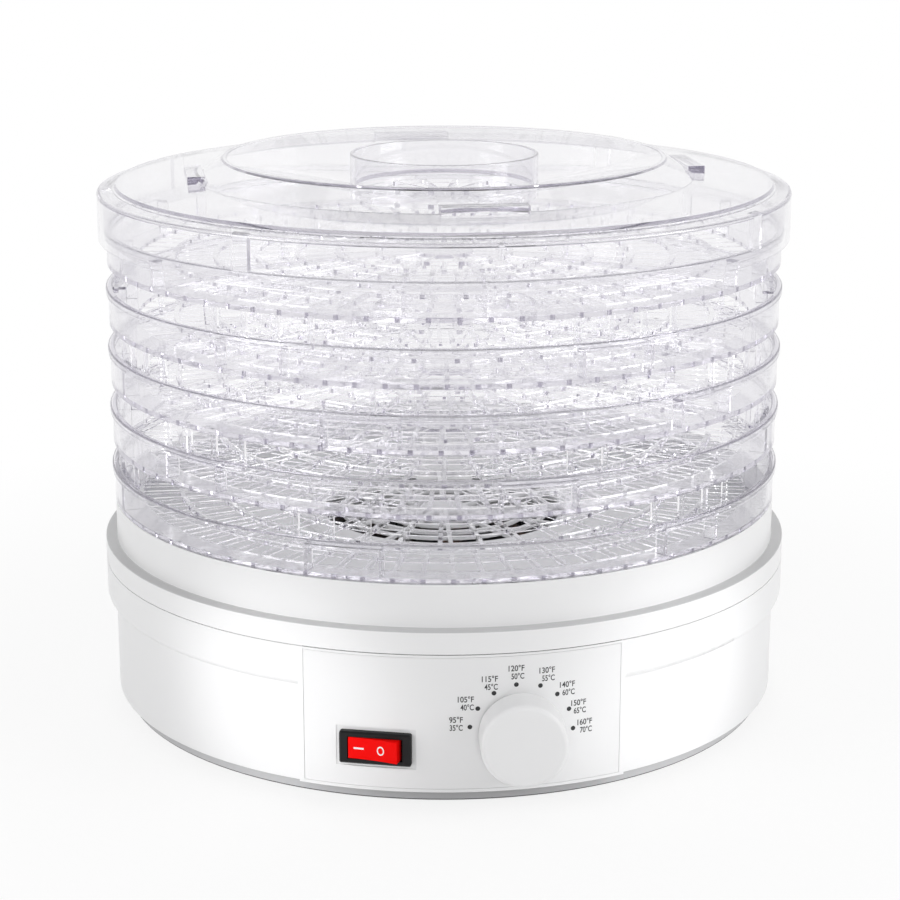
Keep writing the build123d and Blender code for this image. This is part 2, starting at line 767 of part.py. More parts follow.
# Terminal block, where the supply and the leads meet
with BuildPart() as terminal_block:
    with BuildSketch(Plane.XY.offset(plate_top)):
        with Locations(block_place):
            Rectangle(block_length, block_width)
    extrude(amount=block_height)
    with BuildSketch(Plane.XY.offset(plate_top + block_height)):
        with Locations(block_place):
            with GridLocations(block_length / block_ways, 0, block_ways, 1):
                Circle(block_screw_radius)
    extrude(amount=-block_height / 3, mode=Mode.SUBTRACT)
finish(terminal_block, "terminal_block")

# Top cover: the shoulder band with a shadow groove at the seam, the ledge, the collar that carries
# the trays and the deck inside it
with BuildPart() as top_cover:
    with BuildSketch(Plane.XZ) as cover_section:
        with BuildLine():
            Polyline(
                (shoulder_radius - seam_groove_depth, seam),
                (shoulder_radius - seam_groove_depth, seam + seam_groove_height),
                (shoulder_radius, seam + seam_groove_height),
                (shoulder_radius, ledge),
                (collar_radius, ledge),
                (collar_radius, collar_top),
                (collar_inner, collar_top),
                (collar_inner, deck_top),
                (shield_radius, deck_top),
                (shield_radius, deck_bottom),
                (collar_inner, deck_bottom),
                (collar_inner, ledge - base_wall),
                (cover_lip_inner, ledge - base_wall),
                (cover_lip_inner, seam - cover_lip),
                (shoulder_inner - loose_fit, seam - cover_lip),
                (shoulder_inner - loose_fit, seam),
                close=True,
            )
        make_face()
        ledge_corner = cover_section.vertices().sort_by_distance((shoulder_radius, ledge))[0]
        fillet(ledge_corner, ledge_round)
        collar_corner = cover_section.vertices().sort_by_distance((collar_radius, collar_top))[0]
        fillet(collar_corner, collar_round)
        collar_foot = cover_section.vertices().sort_by_distance((collar_radius, ledge))[0]
        fillet(collar_foot, collar_round)
    revolve(axis=Axis.Z)
finish(top_cover, "top_cover")

# Outlet guard: a round grille over the hole in the deck
with BuildPart() as outlet_guard:
    with BuildSketch(Plane.XY.offset(deck_top)):
        Circle(shield_radius + guard_flange)
        Circle(shield_radius - guard_bar, mode=Mode.SUBTRACT)
        guard_step = (shield_radius - guard_bar - guard_hub_radius) / (guard_ring_count + 1)
        for ring in range(guard_ring_count):
            ring_radius = guard_hub_radius + guard_step * (ring + 1)
            with BuildSketch(mode=Mode.PRIVATE) as guard_ring:
                Circle(ring_radius + guard_bar / 2)
                Circle(ring_radius - guard_bar / 2, mode=Mode.SUBTRACT)
            add(guard_ring.sketch)
        with PolarLocations(shield_radius / 2, guard_spoke_count):
            Rectangle(shield_radius, guard_bar)
        Circle(guard_hub_radius)
    extrude(amount=guard_thickness)
finish(outlet_guard, "outlet_guard")

# One leg of a tray: a curved strip with windows between its posts, reaching down from the wall
leg_inner = leg_radius - leg_thickness
post_half_angle = degrees(leg_post / 2 / leg_radius)
window_step = 2 * (leg_half_angle - post_half_angle) / leg_windows
with BuildPart() as leg_form:
    with BuildSketch(Plane.XY.offset(-leg_length)):
        add(ring_sector(leg_inner, leg_radius, front, leg_half_angle))
    extrude(amount=leg_length + tray_floor / 2)
    for window in range(leg_windows):
        window_middle = front + (window - (leg_windows - 1) / 2) * window_step
        with BuildSketch(Plane.XY.offset(leg_rail - leg_length)):
            add(ring_sector(leg_inner - leg_thickness, tray_inner, window_middle, window_step / 2 - post_half_angle))
        extrude(amount=leg_length - leg_rail, mode=Mode.SUBTRACT)

# One seat inside a tray's wall, which a leg of the next tray up stands on
seat_top = tray_height - leg_seat_depth
seat_wall_angle = degrees(seat_wall / 2 / tray_inner)
with BuildPart() as seat_form:
    with BuildSketch(Plane.XY.offset(seat_top - seat_wall)):
        add(ring_sector(tray_inner - seat_depth, tray_inner + tray_wall / 2, front, seat_half_angle))
    extrude(amount=seat_wall)
    for seat_side in (-1, 1):
        side_middle = front + seat_side * (seat_half_angle - seat_wall_angle)
        with BuildSketch(Plane.XY.offset(tray_floor / 2)):
            add(ring_sector(tray_inner - seat_depth, tray_inner + tray_wall / 2, side_middle, seat_wall_angle))
        extrude(amount=seat_top - tray_floor / 2)

# Tray: wall with a thick lip, slotted floor, legs below and seats inside, halfway between the legs
with BuildPart() as tray_form:
    with BuildSketch(Plane.XZ) as wall_section:
        with BuildLine():
            Polyline(
                (tray_inner, 0),
                (tray_inner + tray_wall, 0),
                (tray_inner + tray_wall, tray_height - tray_lip_height),
                (tray_radius, tray_height - tray_lip_height),
                (tray_radius, tray_height),
                (tray_inner, tray_height),
                close=True,
            )
        make_face()
        fillet(wall_section.vertices().group_by(Axis.Y)[-1], lip_round)
        lip_corner = wall_section.vertices().sort_by_distance((tray_radius, tray_height - tray_lip_height))[0]
        fillet(lip_corner, lip_round)
    revolve(axis=Axis.Z)
    with BuildSketch():
        Circle(tray_inner + tray_wall / 2)
        for row, slot_count in enumerate(floor_slot_counts):
            row_inner = floor_hub_radius + row * floor_row_pitch
            row_outer = row_inner + floor_row_pitch - floor_ring_width
            spoke_half_angle = degrees(asin(floor_spoke_width / (row_inner + row_outer)))
            with PolarLocations(0, slot_count):
                add(
                    ring_sector(row_inner, row_outer, front, 180 / slot_count - spoke_half_angle),
                    mode=Mode.SUBTRACT,
                )
    extrude(amount=tray_floor)
    with PolarLocations(0, leg_count):
        add(leg_form.part)
    with PolarLocations(0, leg_count, start_angle=180 / leg_count):
        add(seat_form.part)

for tray_number in range(tray_count):
    tray_place = Location((0, 0, collar_top + tray_number * tray_pitch), (0, 0, tray_turns[tray_number]))
    with BuildPart() as tray:
        with Locations(tray_place):
            add(tray_form.part, clean=False)
    finish(tray, f"tray_{tray_number + 1}")

# Lid: a skirt over the top tray, a stepped flange with lugs and small pegs below, a raised crest and a
# dished middle with a vent tube
flange_level = lid_edge + flange_rise
cone_foot = lid_edge + cone_foot_rise
crest = lid_edge + crest_rise
dish_level = crest - dish_drop
tube_top = lid_edge + tube_rise
tube_bottom = lid_edge - tube_drop
with BuildPart() as lid:
    with BuildSketch(Plane.XZ) as lid_section:
        with BuildLine():
            Polyline(
                (lid_radius, lid_bottom),
                (lid_radius, lid_edge),
                (step_radius, flange_level - step_height),
                (step_radius - step_run, flange_level),
                (cone_foot_radius, cone_foot),
                (crest_radius + crest_width / 2, crest),
                (crest_radius - crest_width / 2, crest),
                (tube_radius, dish_level),
                (tube_radius, tube_top),
                (tube_radius - tube_wall, tube_top),
                (tube_radius - tube_wall, tube_bottom),
                (tube_radius, tube_bottom),
                (tube_radius, dish_level - lid_wall),
                (crest_radius - crest_width / 2, crest - lid_wall),
                (crest_radius + crest_width / 2, crest - lid_wall),
                (cone_foot_radius, cone_foot - lid_wall),
                (step_radius - step_run, flange_level - lid_wall),
                (step_radius, flange_level - step_height - lid_wall),
                (lid_radius - lid_wall, lid_edge - lid_wall),
                (lid_radius - lid_wall, lid_bottom),
                close=True,
            )
        make_face()
        lid_corner = lid_section.vertices().sort_by_distance((lid_radius, lid_edge))[0]
        fillet(lid_corner, lid_edge_round)
        tube_lip = lid_section.vertices().group_by(Axis.Y)[-1]
        fillet(tube_lip, tube_wall / 3)
    revolve(axis=Axis.Z)
    with BuildSketch(Plane.XY.offset(tube_bottom)):
        Circle(tube_radius - tube_wall / 2)
        with PolarLocations(0, tube_bar_count):
            bar_half_angle = degrees(asin(tube_bar / (tube_radius + tube_hub_radius)))
            add(
                ring_sector(tube_hub_radius, tube_radius - 2 * tube_wall, front, 180 / tube_bar_count - bar_half_angle),
                mode=Mode.SUBTRACT,
            )
    extrude(amount=tube_wall)
    with BuildSketch(Plane.XY.offset(cone_foot - lid_wall / 2)):
        with PolarLocations(cone_foot_radius, lug_count, start_angle=front + lug_angle):
            Rectangle(lug_depth, lug_width)
    extrude(amount=lug_height + lid_wall / 2)
    with BuildSketch(Plane.XY.offset(stack_top)):
        with PolarLocations(lid_radius - lid_wall / 2 - rib_depth / 2, rib_count, start_angle=front + rib_angle):
            Rectangle(rib_depth, rib_width)
    extrude(amount=lid_rise - lid_wall / 2)
    with BuildSketch(Plane.XY.offset(lid_edge - peg_length)):
        with PolarLocations(peg_circle, lug_count, start_angle=front + lug_angle):
            Circle(peg_radius)
    extrude(amount=peg_length)
    with BuildSketch(Plane.XY.offset(lid_edge - lid_wall - peg_head_height)):
        with PolarLocations(peg_circle, lug_count, start_angle=front + lug_angle):
            Circle(peg_head_radius)
    extrude(amount=lid_wall + peg_head_height)
finish(lid, "lid")
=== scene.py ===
import math

import bmesh
import bpy
from mathutils import Matrix, Vector
from mathutils.bvhtree import BVHTree


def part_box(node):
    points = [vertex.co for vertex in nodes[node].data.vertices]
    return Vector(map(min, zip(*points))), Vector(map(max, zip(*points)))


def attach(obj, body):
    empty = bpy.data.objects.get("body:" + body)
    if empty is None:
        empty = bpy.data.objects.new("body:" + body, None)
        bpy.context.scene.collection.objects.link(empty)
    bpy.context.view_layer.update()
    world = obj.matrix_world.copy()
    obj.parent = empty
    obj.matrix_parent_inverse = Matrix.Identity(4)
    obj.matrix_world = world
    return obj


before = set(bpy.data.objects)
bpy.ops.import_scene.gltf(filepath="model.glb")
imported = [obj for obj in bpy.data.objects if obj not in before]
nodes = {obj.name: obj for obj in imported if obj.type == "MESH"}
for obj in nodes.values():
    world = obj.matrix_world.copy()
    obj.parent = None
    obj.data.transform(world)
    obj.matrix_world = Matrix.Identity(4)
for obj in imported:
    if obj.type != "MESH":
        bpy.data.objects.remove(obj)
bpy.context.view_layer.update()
scene = bpy.context.scene

# Bottom plate, feet and screws: the base stands on four pressed-in rubber feet under a grey
# moulded pan, with a painted shadow line along its lower edge. The pan closes the housing from
# below and is held by four self-tapping screws.
plinth_grey = (0.47, 0.47, 0.48)
plinth_pale = (0.53, 0.53, 0.54)
lower_edge_painted_shadow = (0.06, 0.06, 0.06, 1.0)
lower_edge_height = 0.0027
lower_edge_reach = 0.0003
rubber_dark = (0.012, 0.012, 0.013)
rubber_worn = (0.028, 0.028, 0.030)
rubber_grain = 0.0004
rubber_grain_depth = 0.00002
zinc_dull = (0.50, 0.51, 0.52)
zinc_bright = (0.66, 0.67, 0.69)
noise_low = 0.3
noise_high = 0.7
tone_patch = 0.12
sheen_patch = 0.03
metal_patch = 0.006
metal_streak = 0.002
metal_grain = 0.0008
metal_grain_depth = 0.00002


def new_finish(name):
    finish = bpy.data.materials.new(name)
    finish.use_nodes = True
    return finish, finish.node_tree, finish.node_tree.nodes["Principled BSDF"]


def mottle(tree, size, stretch=(1.0, 1.0, 1.0), detail=3.0):
    place = tree.nodes.new("ShaderNodeTexCoord")
    mapping = tree.nodes.new("ShaderNodeMapping")
    mapping.inputs["Scale"].default_value = stretch
    noise = tree.nodes.new("ShaderNodeTexNoise")
    noise.inputs["Scale"].default_value = 1.0 / size
    noise.inputs["Detail"].default_value = detail
    tree.links.new(place.outputs["Object"], mapping.inputs["Vector"])
    tree.links.new(mapping.outputs["Vector"], noise.inputs["Vector"])
    return noise.outputs["Fac"]


def shade_between(tree, pattern, dark, pale, socket, low=0.35, high=0.65):
    ramp = tree.nodes.new("ShaderNodeValToRGB")
    ramp.color_ramp.elements[0].position = low
    ramp.color_ramp.elements[1].position = high
    ramp.color_ramp.elements[0].color = (*dark, 1.0)
    ramp.color_ramp.elements[1].color = (*pale, 1.0)
    tree.links.new(pattern, ramp.inputs["Fac"])
    tree.links.new(ramp.outputs["Color"], socket)


def spread(tree, pattern, low, high, socket):
    span = tree.nodes.new("ShaderNodeMapRange")
    span.inputs["From Min"].default_value = noise_low
    span.inputs["From Max"].default_value = noise_high
    span.inputs["To Min"].default_value = low
    span.inputs["To Max"].default_value = high
    tree.links.new(pattern, span.inputs["Value"])
    tree.links.new(span.outputs["Result"], socket)


def relief(tree, pattern, depth, bsdf, strength=0.5):
    bump = tree.nodes.new("ShaderNodeBump")
    bump.inputs["Strength"].default_value = strength
    bump.inputs["Distance"].default_value = depth
    tree.links.new(pattern, bump.inputs["Height"])
    tree.links.new(bump.outputs["Normal"], bsdf.inputs["Normal"])


def moulded_plastic(
    name, dark, pale, smoothest, roughest, grain_size=0.0008, grain_depth=0.000006, shine=0.5
):
    finish, tree, bsdf = new_finish(name)
    bsdf.inputs["Specular IOR Level"].default_value = shine
    tone = mottle(tree, tone_patch, detail=1.0)
    sheen = mottle(tree, sheen_patch, detail=1.0)
    shade_between(tree, tone, dark, pale, bsdf.inputs["Base Color"], low=0.2, high=0.8)
    spread(tree, sheen, smoothest, roughest, bsdf.inputs["Roughness"])
    relief(tree, mottle(tree, grain_size), grain_depth, bsdf)
    return finish


def plated_metal(name, dark, pale, smoothest, roughest, stretch=(1.0, 1.0, 1.0)):
    finish, tree, bsdf = new_finish(name)
    bsdf.inputs["Metallic"].default_value = 1.0
    shade_between(tree, mottle(tree, metal_patch), dark, pale, bsdf.inputs["Base Color"])
    spread(tree, mottle(tree, metal_streak, stretch), smoothest, roughest, bsdf.inputs["Roughness"])
    relief(tree, mottle(tree, metal_grain, stretch), metal_grain_depth, bsdf)
    return finish


def dress(finish, *names):
    for name in names:
        for place in nodes[name].material_slots:
            place.material = finish


def coordinates(tree):
    place = tree.nodes.new("ShaderNodeTexCoord")
    parts = tree.nodes.new("ShaderNodeSeparateXYZ")
    tree.links.new(place.outputs["Object"], parts.inputs["Vector"])
    return parts.outputs


def calculate(tree, operation, first, *others):
    math_node = tree.nodes.new("ShaderNodeMath")
    math_node.operation = operation
    tree.links.new(first, math_node.inputs[0])
    for place, other in enumerate(others, 1):
        if isinstance(other, float):
            math_node.inputs[place].default_value = other
        else:
            tree.links.new(other, math_node.inputs[place])
    return math_node.outputs["Value"]


def tint_zone(finish, zone, tone):
    tree = finish.node_tree
    socket = tree.nodes["Principled BSDF"].inputs["Base Color"]
    mix = tree.nodes.new("ShaderNodeMix")
    mix.data_type = "RGBA"
    mix.inputs["B"].default_value = tone
    tree.links.new(zone, mix.inputs["Factor"])
    tree.links.new(socket.links[0].from_socket, mix.inputs["A"])
    tree.links.new(mix.outputs["Result"], socket)


grey_pan = moulded_plastic("grey_pan_plastic", plinth_grey, plinth_pale, smoothest=0.42, roughest=0.55)
# Painted shadow: a thin dark band round the pan just above its bottom edge.
pan_height = coordinates(grey_pan.node_tree)["Z"]
lower_edge = calculate(grey_pan.node_tree, "COMPARE", pan_height, lower_edge_height, lower_edge_reach)
tint_zone(grey_pan, lower_edge, lower_edge_painted_shadow)
foot_rubber = moulded_plastic(
    "foot_rubber",
    rubber_dark,
    rubber_worn,
    smoothest=0.62,
    roughest=0.85,
    grain_size=rubber_grain,
    grain_depth=rubber_grain_depth,
)
zinc_plate = plated_metal("zinc_plate", zinc_dull, zinc_bright, smoothest=0.25, roughest=0.42)
dress(grey_pan, "bottom_plate")
dress(foot_rubber, "rubber_feet")
dress(zinc_plate, "base_screws")

# Base housing: an injection-moulded white shell with a pocket in its front block for the control
# panel. The pocket's walls are painted dark, as painted shade in the gap round the panel.
shell_shade = (0.79, 0.79, 0.795)
shell_white = (0.82, 0.82, 0.825)
shell_smoothest = 0.32
shell_roughest = 0.38
pocket_painted_shade = (0.06, 0.06, 0.06, 1.0)
pocket_radius = 0.1662
pocket_half_width = 0.0700
housing_shell = moulded_plastic(
    "white_housing_plastic", shell_shade, shell_white, shell_smoothest, shell_roughest
)
housing_tree = housing_shell.node_tree
# Painted shade: the shell is coloured dark inside the panel's radius across the front block.
housing_place = coordinates(housing_tree)
across = housing_place["X"]
deep = housing_place["Y"]
deep_squared = calculate(housing_tree, "MULTIPLY", deep, deep)
reach_squared = calculate(housing_tree, "MULTIPLY_ADD", across, across, deep_squared)
in_reach = calculate(housing_tree, "LESS_THAN", reach_squared, pocket_radius**2)
in_width = calculate(housing_tree, "COMPARE", across, 0.0, pocket_half_width)
in_front = calculate(housing_tree, "LESS_THAN", deep, 0.0)
in_front_width = calculate(housing_tree, "MULTIPLY", in_width, in_front)
pocket = calculate(housing_tree, "MULTIPLY", in_reach, in_front_width)
tint_zone(housing_shell, pocket, pocket_painted_shade)
dress(housing_shell, "base_housing")

# Top cover and outlet guard: the second white shell meets the housing at the seam. It has the
# ledge, whose flat top is painted grey as painted shade, the collar that the trays stand on, and
# the deck with the warm-air outlet.
ledge_painted_shade = (0.55, 0.55, 0.555, 1.0)
ledge_height = 0.0836
ledge_reach = 0.0003
cover_shell = moulded_plastic(
    "white_shell_plastic", shell_shade, shell_white, shell_smoothest, shell_roughest
)
# Painted shade: a thin grey band on the ledge's flat top, where little light falls.
cover_height = coordinates(cover_shell.node_tree)["Z"]
ledge = calculate(cover_shell.node_tree, "COMPARE", cover_height, ledge_height, ledge_reach)
tint_zone(cover_shell, ledge, ledge_painted_shade)
dress(cover_shell, "top_cover", "outlet_guard")

# Control panel: a curved white plate let into the front block, smoother than the shells, with
# the temperature scale pad-printed round the knob in black.
panel_shade = (0.78, 0.78, 0.785)
panel_white = (0.80, 0.80, 0.805)
panel_grain = 0.0006
panel_grain_depth = 0.000004
panel_radius = 0.1667
ink_thickness = 0.00004
ink_black = (0.012, 0.012, 0.013)
ink_faded = (0.030, 0.030, 0.032)
dot_circle = 0.0231
dot_drop = 0.0008
dot_radius = 0.00105
dot_segments = 24
dot_angles = (169.2, 146.5, 122.0, 96.1, 69.2, 46.9, 23.7, -0.1)
label_readings = ((95, 35), (105, 40), (115, 45), (120, 50), (130, 55), (140, 60), (150, 65), (160, 70))
label_right_edges = (-0.0257, -0.0209, -0.0105, 0.0011, 0.0146, 0.0237, 0.0289, 0.0318)
label_heights = (0.0049, 0.0143, 0.0234, 0.0277, 0.0257, 0.0181, 0.0089, -0.0005)
label_size = 0.0037
label_narrowings = (0.88, 0.76)
letter_weight = 0.00005
label_line_gap = 0.0037
knob_low, knob_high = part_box("temperature_knob")
dial_middle = (knob_low + knob_high) / 2


def add_piece(name, shape, finish, body):
    data = bpy.data.meshes.new(name)
    shape.to_mesh(data)
    shape.free()
    data.materials.append(finish)
    piece = bpy.data.objects.new(name, data)
    scene.collection.objects.link(piece)
    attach(piece, body)


def wrap_on_panel(points, sideways, height):
    start = math.asin(sideways / panel_radius)
    for point in points:
        angle = start + point.co.x / panel_radius
        reach = panel_radius + point.co.z
        point.co = (reach * math.sin(angle), -reach * math.cos(angle), height + point.co.y)


def add_words(shape, words, narrowing):
    letters = bpy.data.curves.new(words, "FONT")
    letters.body = words
    letters.size = label_size
    letters.align_x = "RIGHT"
    letters.align_y = "CENTER"
    letters.extrude = ink_thickness
    letters.offset = letter_weight
    carrier = bpy.data.objects.new(words, letters)
    outline = bpy.data.meshes.new_from_object(carrier)
    outline.transform(Matrix.Diagonal((narrowing, 1.0, 1.0, 1.0)))
    before = set(shape.verts)
    shape.from_mesh(outline)
    bpy.data.objects.remove(carrier)
    bpy.data.curves.remove(letters)
    bpy.data.meshes.remove(outline)
    return [point for point in shape.verts if point not in before]


white_panel = moulded_plastic(
    "white_panel_plastic",
    panel_shade,
    panel_white,
    smoothest=0.28,
    roughest=0.34,
    grain_size=panel_grain,
    grain_depth=panel_grain_depth,
)
dress(white_panel, "control_panel")

scale_print = bmesh.new()
for step, (fahrenheit, celsius) in enumerate(label_readings):
    dot_angle = math.radians(dot_angles[step])
    dot = bmesh.ops.create_cone(
        scale_print,
        cap_ends=True,
        segments=dot_segments,
        radius1=dot_radius,
        radius2=dot_radius,
        depth=2.0 * ink_thickness,
    )
    wrap_on_panel(
        dot["verts"],
        dial_middle.x + dot_circle * math.cos(dot_angle),
        dial_middle.z - dot_drop + dot_circle * math.sin(dot_angle),
    )
    label_right = dial_middle.x + label_right_edges[step]
    label_height = dial_middle.z + label_heights[step]
    for line, words in enumerate((f"{fahrenheit}\u00b0F", f"{celsius}\u00b0C")):
        letters = add_words(scale_print, words, label_narrowings[line])
        wrap_on_panel(letters, label_right, label_height + (0.5 - line) * label_line_gap)
black_ink = moulded_plastic("black_ink", ink_black, ink_faded, smoothest=0.45, roughest=0.6)
add_piece("temperature_scale", scale_print, black_ink, "base")

# Switch: a black snap-in rocker switch. The bezel is matt black, and the rocker is a glossy red
# translucent moulding with its two marks filled in white.
bezel_black = (0.004, 0.004, 0.0045)
bezel_sheen = (0.009, 0.009, 0.010)
bezel_grain = 0.0005
bezel_shine = 0.25
rocker_deep = (0.80, 0.002, 0.002)
rocker_bright = (0.92, 0.006, 0.004)
rocker_grain = 0.004
rocker_shine = 0.06
switch_turn = math.radians(-13.4)
switch_height = 0.0295
mark_depth = 0.00012
bar_place = (-0.0071, 0.0)
bar_length = 0.0046
bar_width = 0.0008
bar_segments = 8
ring_place = (0.0029, 0.0)
ring_outer = 0.0021
ring_narrowing = 0.78
ring_stroke = 0.0006
ring_segments = 32
mark_white = (0.80, 0.80, 0.80)
mark_pale = (0.86, 0.86, 0.86)
half_unit = 0.5


def lay_on_rocker(points):
    rocker = nodes["switch_rocker"].data
    surface = BVHTree.FromPolygons(
        [point.co for point in rocker.vertices],
        [face.vertices for face in rocker.polygons],
    )
    outwards = Vector((math.sin(switch_turn), -math.cos(switch_turn), 0.0))
    sideways = Vector((math.cos(switch_turn), math.sin(switch_turn), 0.0))
    far = outwards * 2.0 * panel_radius + Vector((0.0, 0.0, switch_height))
    for point in points:
        start = far + sideways * point.co.x + Vector((0.0, 0.0, point.co.y))
        hit = surface.ray_cast(start, -outwards)[0]
        point.co = hit + outwards * point.co.z


black_bezel = moulded_plastic(
    "black_bezel_plastic",
    bezel_black,
    bezel_sheen,
    smoothest=0.40,
    roughest=0.50,
    grain_size=bezel_grain,
    shine=bezel_shine,
)
red_rocker = moulded_plastic(
    "red_rocker_plastic",
    rocker_deep,
    rocker_bright,
    smoothest=0.10,
    roughest=0.18,
    grain_size=rocker_grain,
    shine=rocker_shine,
)
dress(black_bezel, "switch_housing")
dress(red_rocker, "switch_rocker")
dress(zinc_plate, "switch_terminals")

marks = bmesh.new()
bar = bmesh.ops.create_grid(marks, x_segments=bar_segments, y_segments=1, size=half_unit)
for point in bar["verts"]:
    point.co = (bar_place[0] + point.co.x * bar_length, bar_place[1] + point.co.y * bar_width, mark_depth)
ring = bmesh.ops.create_circle(marks, segments=ring_segments, radius=ring_outer)
ring_edges = list({edge for point in ring["verts"] for edge in point.link_edges})
inner_ring = bmesh.ops.extrude_edge_only(marks, edges=ring_edges)
inner_points = [item for item in inner_ring["geom"] if isinstance(item, bmesh.types.BMVert)]
for point in inner_points:
    point.co = point.co * (1.0 - ring_stroke / ring_outer)
for point in ring["verts"] + inner_points:
    point.co = (ring_place[0] + point.co.x * ring_narrowing, ring_place[1] + point.co.y, mark_depth)
lay_on_rocker(marks.verts)
bmesh.ops.recalc_face_normals(marks, faces=marks.faces)
bmesh.ops.solidify(marks, geom=list(marks.faces), thickness=2.0 * mark_depth)
mark_fill = moulded_plastic("white_mark_fill", mark_white, mark_pale, smoothest=0.35, roughest=0.45)
add_piece("switch_marks", marks, mark_fill, "rocker")

# Thermostat and knob: a capillary thermostat held behind the panel by a brass nut, with a plain
# white push-on knob on its shaft.
brass_deep = (0.55, 0.38, 0.13)
brass_pale = (0.74, 0.55, 0.24)
knob_grain = 0.0007
knob_grain_depth = 0.000004
brass = plated_metal("turned_brass", brass_deep, brass_pale, smoothest=0.22, roughest=0.36)
white_knob = moulded_plastic(
    "white_knob_plastic",
    shell_shade,
    shell_white,
    smoothest=0.30,
    roughest=0.38,
    grain_size=knob_grain,
    grain_depth=knob_grain_depth,
)
dress(zinc_plate, "thermostat_body")
dress(brass, "thermostat_nut", "thermostat_shaft")
dress(white_knob, "temperature_knob")

# Cord gland: a black rubber gland in the back of the housing, held by a plastic nut from inside.
# It shares the feet's rubber and the switch bezel's black plastic.
dress(foot_rubber, "cord_gland")
dress(black_bezel, "gland_nut")

# Motor, fan and heater: a shaded-pole motor on two steel straps turns a plastic fan inside a
# sheet steel shield, and blows through the ring heater and the outlet guard.
steel_dark = (0.06, 0.06, 0.065)
steel_worn = (0.14, 0.14, 0.15)
copper_deep = (0.42, 0.13, 0.05)
copper_pale = (0.66, 0.27, 0.12)
winding_stretch = (1.0, 1.0, 12.0)
dark_steel = plated_metal("dark_steel", steel_dark, steel_worn, smoothest=0.35, roughest=0.55)
copper_wire = plated_metal(
    "copper_wire", copper_deep, copper_pale, smoothest=0.2, roughest=0.4, stretch=winding_stretch
)
dress(zinc_plate, "motor_strap_lower", "motor_strap_upper", "motor_spacers", "motor_screws", "motor_shaft")
dress(brass, "bearing_bushes")
dress(dark_steel, "motor_stator", "motor_rotor", "heater_element")
dress(copper_wire, "motor_coil")
dress(black_bezel, "fan_impeller", "thermal_cutoff", "terminal_block")
dress(zinc_plate, "heat_shield", "heater_clips")

# Trays: five clear mouldings, each with a lipped wall, a slotted floor, legs that stand in the
# tray below and seats for the next tray's legs.
clear_tint = (0.985, 0.984, 0.990)
clear_pale = (0.995, 0.994, 0.998)
clear_patch = 0.06
edge_on_painted_shade = (0.70, 0.69, 0.73, 1.0)
rim_blend = 0.15
polish_patch = 0.02
polish_smoothest = 0.01
polish_roughest = 0.04
ripple_size = 0.04
ripple_depth = 0.0001
ripple_strength = 0.04
shade_tint = (0.955, 0.955, 0.96, 1.0)
plastic_ior = 1.53
body_tint = (0.803, 0.790, 0.832, 1.0)
tray_density = 65.0
trapped_bounces = 14.0
light_layers = 32


def clear_plastic(name, density):
    finish, tree, bsdf = new_finish(name)
    bsdf.inputs["Transmission Weight"].default_value = 1.0
    bsdf.inputs["IOR"].default_value = plastic_ior
    shade_between(tree, mottle(tree, clear_patch), clear_tint, clear_pale, bsdf.inputs["Base Color"])
    # Painted shade: the plastic darkens to grey-lilac where a wall is seen edge-on.
    slant = tree.nodes.new("ShaderNodeLayerWeight")
    slant.inputs["Blend"].default_value = rim_blend
    tint_zone(finish, slant.outputs["Facing"], edge_on_painted_shade)
    polish = mottle(tree, polish_patch)
    spread(tree, polish, polish_smoothest, polish_roughest, bsdf.inputs["Roughness"])
    relief(tree, mottle(tree, ripple_size, detail=1.0), ripple_depth, bsdf, ripple_strength)
    path = tree.nodes.new("ShaderNodeLightPath")
    unseen = calculate(tree, "MAXIMUM", path.outputs["Is Shadow Ray"], path.outputs["Is Diffuse Ray"])
    trapped = calculate(tree, "GREATER_THAN", path.outputs["Ray Depth"], trapped_bounces)
    straight = calculate(tree, "MAXIMUM", unseen, trapped)
    through = tree.nodes.new("ShaderNodeBsdfTransparent")
    through.inputs["Color"].default_value = shade_tint
    mix = tree.nodes.new("ShaderNodeMixShader")
    body = tree.nodes.new("ShaderNodeVolumeAbsorption")
    body.inputs["Color"].default_value = body_tint
    body.inputs["Density"].default_value = density
    out = tree.nodes["Material Output"]
    tree.links.new(straight, mix.inputs["Fac"])
    tree.links.new(bsdf.outputs["BSDF"], mix.inputs[1])
    tree.links.new(through.outputs["BSDF"], mix.inputs[2])
    tree.links.new(mix.outputs["Shader"], out.inputs["Surface"])
    tree.links.new(body.outputs["Volume"], out.inputs["Volume"])
    return finish


clear_tray = clear_plastic("clear_tray_plastic", tray_density)
dress(clear_tray, "tray_1", "tray_2", "tray_3", "tray_4", "tray_5")
scene.cycles.max_bounces = light_layers
scene.cycles.transmission_bounces = light_layers
scene.cycles.glossy_bounces = light_layers
scene.cycles.transparent_max_bounces = light_layers

# Lid: one clear moulding that drops over the top tray, with a stepped flange, a raised crest, a
# dished middle and a vent tube. Its plastic is a little clearer than the trays'.
lid_density = 30.0
clear_lid = clear_plastic("clear_lid_plastic", lid_density)
dress(clear_lid, "lid")

# Studio: a white floor that keeps the object's shadow, a white surround, soft lamps on all four
# sides and overhead, and two narrow gridded lamps that brighten the flanks of the base. The front
# and back lamps stay out of reflections.
floor_reach = 6.0
floor_white = (0.90, 0.90, 0.90, 1.0)
floor_roughness = 0.9
floor_glow = 0.85
shadow_reach = 0.2
white_reach = 0.5
contact_start = 0.146
contact_end = 0.154
surround_white = (1.0, 1.0, 1.0, 1.0)
surround_light = 0.45
ceiling_start = 0.5
ceiling_end = 0.8
ceiling_grey = 0.3
side_lamp_size = 0.9
front_lamp_size = 1.0
top_lamp_size = 1.6
left_lamp_power = 9.0
right_lamp_power = 12.0
top_lamp_power = 4.0
front_lamp_power = 8.0
back_lamp_power = 12.0
base_left = (-0.06, -0.08, 0.08)
base_right = (0.06, -0.08, 0.08)
base_top = (0.0, 0.0, 0.1)
left_gridded_power = 26.0
right_gridded_power = 22.0
gridded_lamp_radius = 0.02
gridded_lamp_reach = 1.4
gridded_lamp_height = 0.35
gridded_aim_height = 0.045


